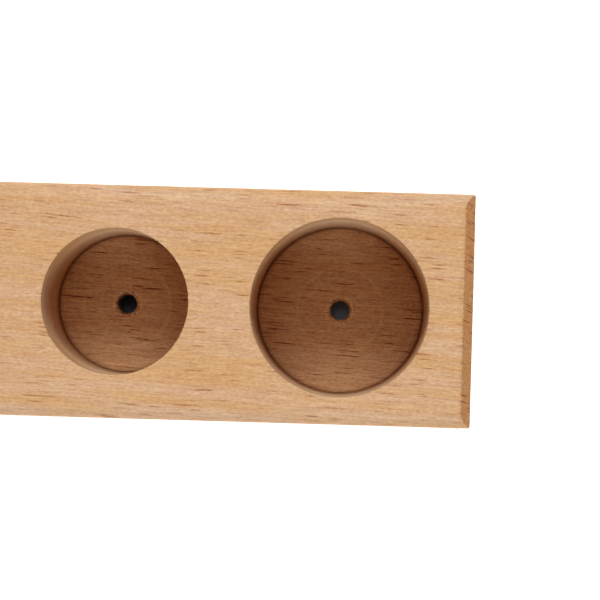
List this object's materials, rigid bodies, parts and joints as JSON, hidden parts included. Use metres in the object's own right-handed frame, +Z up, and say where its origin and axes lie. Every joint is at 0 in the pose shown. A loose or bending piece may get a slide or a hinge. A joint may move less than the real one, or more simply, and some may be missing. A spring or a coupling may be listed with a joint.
{
  "type": "graded cylinder block",
  "caption": "Solid beech block with a row of flat-floored sockets graded in width and depth; knobbed cylinders lift out of the small sockets and the widest sockets stand open.",
  "frame": {"origin": "middle of the block's underside", "axes": "+X along the block towards its widest socket, +Y across it, +Z up out of the sockets"},
  "size_m": [0.2832, 0.073, 0.0858],
  "materials": {
    "block_beech": "steamed beech, finely sanded, thin satin oil; raw tool marks inside the sockets",
    "cylinder_beech": "steamed beech, turned and finely sanded, thin satin oil",
    "knob_beech": "steamed beech, turned and finely sanded, thin satin oil",
    "dowel_beech": "plain beech glue dowel, fluted, unfinished"
  },
  "bodies": {
    "block": {"socket_block": "block_beech"},
    "knobbed_35": {"cylinder_35": "cylinder_beech", "cylinder_35_knob": "knob_beech", "cylinder_35_dowel": "dowel_beech"},
    "knobbed_25": {"cylinder_25": "cylinder_beech", "cylinder_25_knob": "knob_beech", "cylinder_25_dowel": "dowel_beech"},
    "knobbed_15": {"cylinder_15": "cylinder_beech", "cylinder_15_knob": "knob_beech", "cylinder_15_dowel": "dowel_beech"}
  },
  "joints": [
    {"name": "lift_35", "type": "slide", "parent": "block", "child": "knobbed_35", "axis": [0, 0, 1], "range_m": [0, 0.045]},
    {"name": "lift_25", "type": "slide", "parent": "block", "child": "knobbed_25", "axis": [0, 0, 1], "range_m": [0, 0.035]},
    {"name": "lift_15", "type": "slide", "parent": "block", "child": "knobbed_15", "axis": [0, 0, 1], "range_m": [0, 0.025]}
  ]
}
